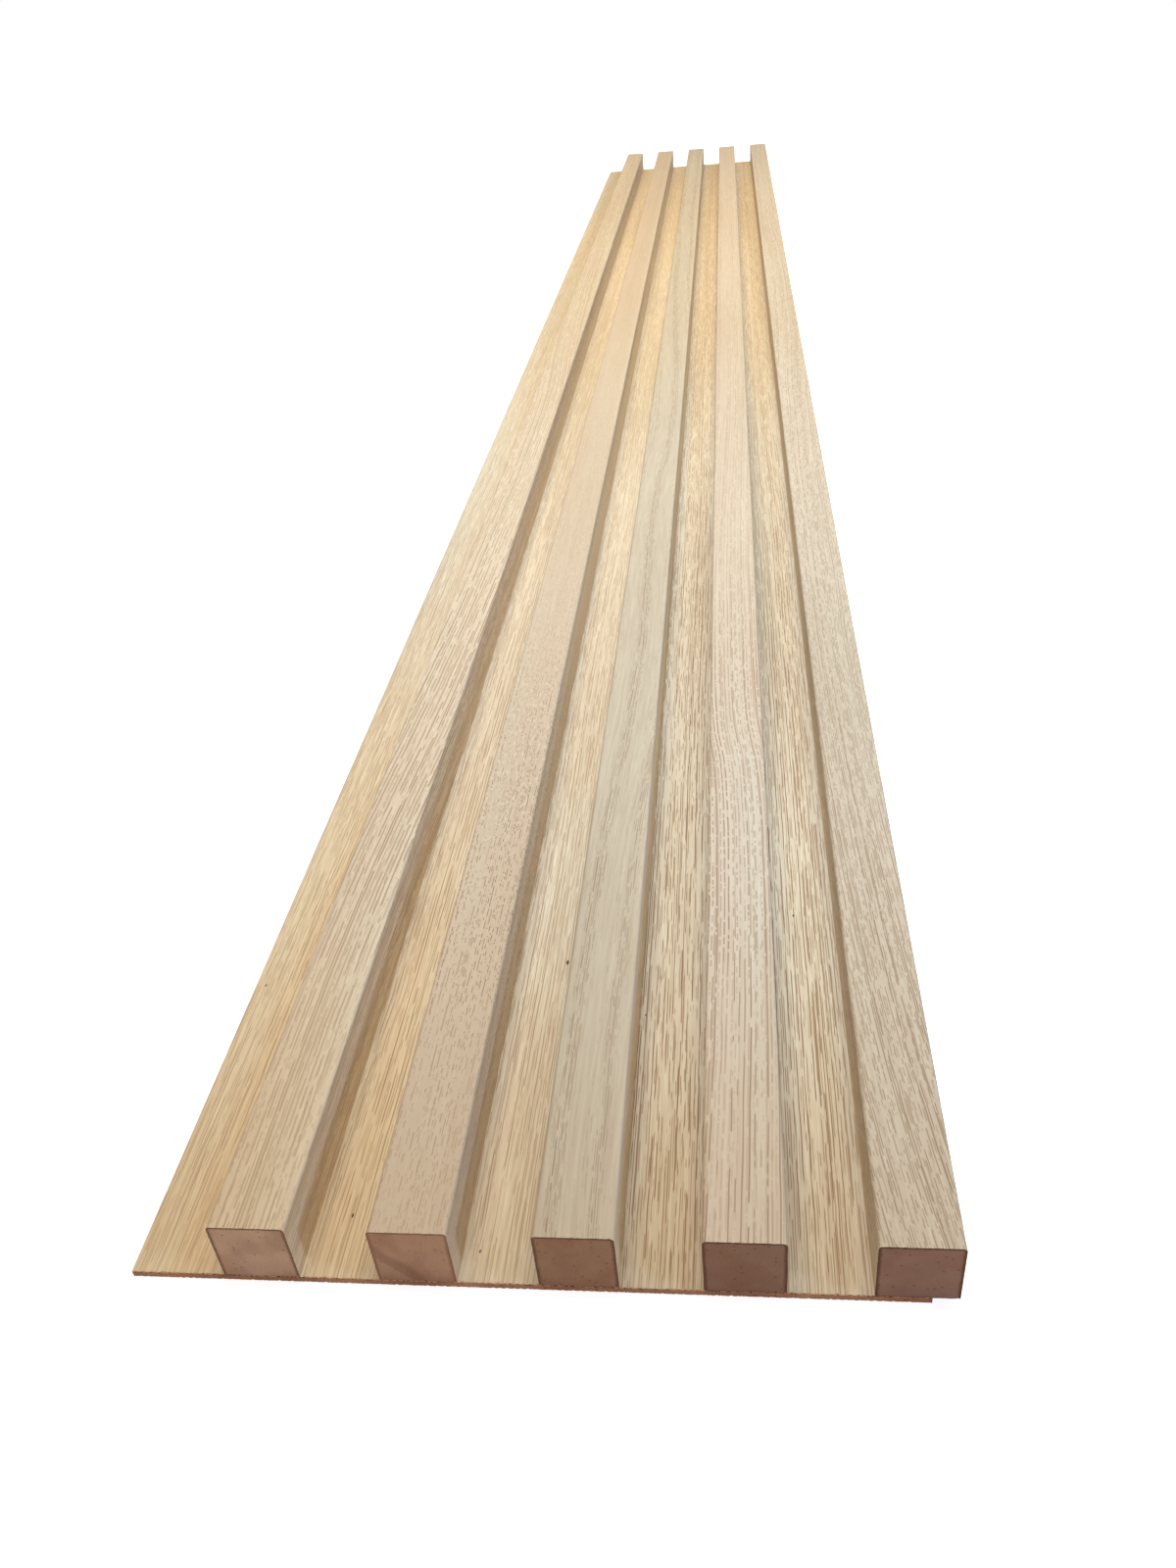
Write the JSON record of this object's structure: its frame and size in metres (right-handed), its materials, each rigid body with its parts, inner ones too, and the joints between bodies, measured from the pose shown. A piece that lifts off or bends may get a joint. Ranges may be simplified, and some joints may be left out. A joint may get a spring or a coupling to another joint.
{
  "type": "slat wall panel",
  "caption": "Long wall panel of square oak-veneered slats on a thin veneered backing, with a tongue along one edge and a lap under the last slat for the next panel.",
  "frame": {"origin": "centre of the panel's outline, on the back face that lies against the wall", "axes": "+X across the slats, from the tongue to the lap; +Y along the slats; +Z out of the wall, so the slats stand up from the backing"},
  "size_m": [0.3064, 2.44, 0.032],
  "materials": {
    "backing_fibreboard": "bare sawn fibreboard, matt",
    "oak_backing": "straight-grained oak veneer, clear satin lacquer, open pores",
    "slat_fibreboard": "bare sawn fibreboard, matt",
    "oak_slat_1": "oak veneer with slanting grain, clear satin lacquer",
    "oak_slat_2": "rosy oak veneer with fine flecks, clear satin lacquer",
    "oak_slat_3": "greyish oak veneer with wavy arched grain, clear satin lacquer",
    "oak_slat_4": "pale rosy oak veneer with straight pores, clear satin lacquer",
    "oak_slat_5": "pale oak veneer with slanting grain, clear satin lacquer"
  },
  "bodies": {
    "root": {"backing_board": "backing_fibreboard", "backing_face_veneer": "oak_backing", "slat_1_core": "slat_fibreboard", "slat_1_veneer": "oak_slat_1", "slat_2_core": "slat_fibreboard", "slat_2_veneer": "oak_slat_2", "slat_3_core": "slat_fibreboard", "slat_3_veneer": "oak_slat_3", "slat_4_core": "slat_fibreboard", "slat_4_veneer": "oak_slat_4", "slat_5_core": "slat_fibreboard", "slat_5_veneer": "oak_slat_5"}
  },
  "joints": []
}
